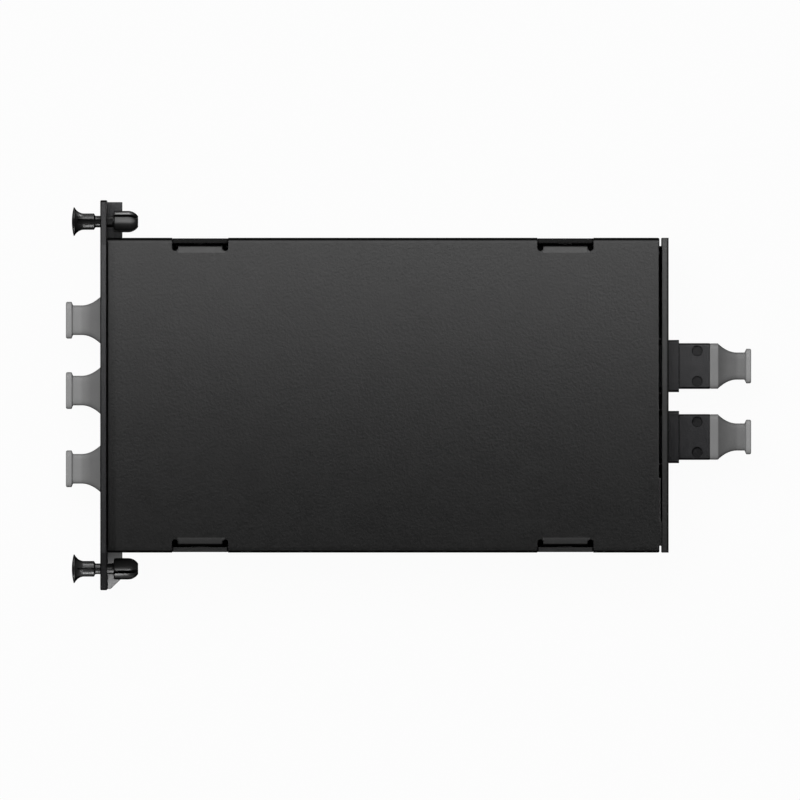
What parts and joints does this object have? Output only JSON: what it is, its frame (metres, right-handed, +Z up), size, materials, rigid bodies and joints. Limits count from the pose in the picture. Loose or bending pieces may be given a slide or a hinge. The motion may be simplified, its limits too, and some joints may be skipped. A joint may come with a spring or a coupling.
{
  "type": "fibre conversion cassette",
  "caption": "Flat steel box with a latched front panel that joins capped multi-fibre ports at its rear to capped ports at its front.",
  "frame": {"origin": "on the back face of the front panel, midway between the two latches and at half its height", "axes": "+X from the front panel to the rear ports, +Y to the left of someone facing the panel, +Z up through the cover"},
  "size_m": [0.1919, 0.109, 0.035],
  "materials": {
    "powder_coated_steel": "fine matte powder coat",
    "zinc_steel": "zinc plated",
    "panel_plastic": "fine spark-eroded texture",
    "latch_nylon": "smooth moulded nylon",
    "black_screw": "black zinc",
    "spring_steel": "bright",
    "adapter_plastic": "fine texture",
    "cap_plastic": "smooth, slightly waxy",
    "boot_rubber": "matte",
    "ferrule_plastic": "moulded",
    "plug_plastic": "moulded",
    "lead_jacket": "smooth jacket",
    "clip_nylon": "natural nylon"
  },
  "bodies": {
    "cassette": {"base_tray": "powder_coated_steel", "top_cover": "powder_coated_steel", "front_panel": "panel_plastic", "panel_screws": "black_screw", "front_bracket": "zinc_steel", "bracket_rivets": "zinc_steel", "lead_clips": "clip_nylon", "fibre_lead_a_left": "lead_jacket", "fibre_lead_a_middle": "lead_jacket", "fibre_lead_b_middle": "lead_jacket", "fibre_lead_b_right": "lead_jacket", "adapter_front_left": "adapter_plastic", "adapter_front_middle": "adapter_plastic", "adapter_front_right": "adapter_plastic", "adapter_rear_left": "adapter_plastic", "adapter_rear_right": "adapter_plastic", "adapter_clip_front_left": "spring_steel", "adapter_clip_front_middle": "spring_steel", "adapter_clip_front_right": "spring_steel", "adapter_clip_rear_left": "spring_steel", "adapter_clip_rear_right": "spring_steel", "plug_housing_front_left": "plug_plastic", "plug_housing_front_middle": "plug_plastic", "plug_housing_front_right": "plug_plastic", "plug_housing_rear_left": "plug_plastic", "plug_housing_rear_right": "plug_plastic", "plug_ferrule_front_left": "ferrule_plastic", "plug_ferrule_front_middle": "ferrule_plastic", "plug_ferrule_front_right": "ferrule_plastic", "plug_ferrule_rear_left": "ferrule_plastic", "plug_ferrule_rear_right": "ferrule_plastic", "plug_boot_front_left": "boot_rubber", "plug_boot_front_middle": "boot_rubber", "plug_boot_front_right": "boot_rubber", "plug_boot_rear_left": "boot_rubber", "plug_boot_rear_right": "boot_rubber"},
    "latch_left": {"latch_left": "latch_nylon"},
    "latch_right": {"latch_right": "latch_nylon"},
    "dust_cap_front_left": {"dust_cap_front_left": "cap_plastic"},
    "plug_sleeve_front_left": {"plug_sleeve_front_left": "plug_plastic"},
    "dust_cap_front_middle": {"dust_cap_front_middle": "cap_plastic"},
    "plug_sleeve_front_middle": {"plug_sleeve_front_middle": "plug_plastic"},
    "dust_cap_front_right": {"dust_cap_front_right": "cap_plastic"},
    "plug_sleeve_front_right": {"plug_sleeve_front_right": "plug_plastic"},
    "dust_cap_rear_left": {"dust_cap_rear_left": "cap_plastic"},
    "plug_sleeve_rear_left": {"plug_sleeve_rear_left": "plug_plastic"},
    "dust_cap_rear_right": {"dust_cap_rear_right": "cap_plastic"},
    "plug_sleeve_rear_right": {"plug_sleeve_rear_right": "plug_plastic"}
  },
  "joints": [
    {"name": "latch_left_slide", "type": "slide", "parent": "cassette", "child": "latch_left", "axis": [1, 0, 0], "range_m": [-0.00185, 0.00145]},
    {"name": "latch_right_slide", "type": "slide", "parent": "cassette", "child": "latch_right", "axis": [1, 0, 0], "range_m": [-0.00185, 0.00145]},
    {"name": "dust_cap_front_left_pull", "type": "slide", "parent": "cassette", "child": "dust_cap_front_left", "axis": [-1, 0, 0], "range_m": [0, 0.012]},
    {"name": "plug_sleeve_front_left_pull", "type": "slide", "parent": "cassette", "child": "plug_sleeve_front_left", "axis": [1, 0, 0], "range_m": [0, 0.0016], "stiffness_N_per_m": 1200, "springref_m": -0.001},
    {"name": "dust_cap_front_middle_pull", "type": "slide", "parent": "cassette", "child": "dust_cap_front_middle", "axis": [-1, 0, 0], "range_m": [0, 0.012]},
    {"name": "plug_sleeve_front_middle_pull", "type": "slide", "parent": "cassette", "child": "plug_sleeve_front_middle", "axis": [1, 0, 0], "range_m": [0, 0.0016], "stiffness_N_per_m": 1200, "springref_m": -0.001},
    {"name": "dust_cap_front_right_pull", "type": "slide", "parent": "cassette", "child": "dust_cap_front_right", "axis": [-1, 0, 0], "range_m": [0, 0.012]},
    {"name": "plug_sleeve_front_right_pull", "type": "slide", "parent": "cassette", "child": "plug_sleeve_front_right", "axis": [1, 0, 0], "range_m": [0, 0.0016], "stiffness_N_per_m": 1200, "springref_m": -0.001},
    {"name": "dust_cap_rear_left_pull", "type": "slide", "parent": "cassette", "child": "dust_cap_rear_left", "axis": [1, 0, 0], "range_m": [0, 0.012]},
    {"name": "plug_sleeve_rear_left_pull", "type": "slide", "parent": "cassette", "child": "plug_sleeve_rear_left", "axis": [-1, 0, 0], "range_m": [0, 0.0016], "stiffness_N_per_m": 1200, "springref_m": -0.001},
    {"name": "dust_cap_rear_right_pull", "type": "slide", "parent": "cassette", "child": "dust_cap_rear_right", "axis": [1, 0, 0], "range_m": [0, 0.012]},
    {"name": "plug_sleeve_rear_right_pull", "type": "slide", "parent": "cassette", "child": "plug_sleeve_rear_right", "axis": [-1, 0, 0], "range_m": [0, 0.0016], "stiffness_N_per_m": 1200, "springref_m": -0.001}
  ]
}
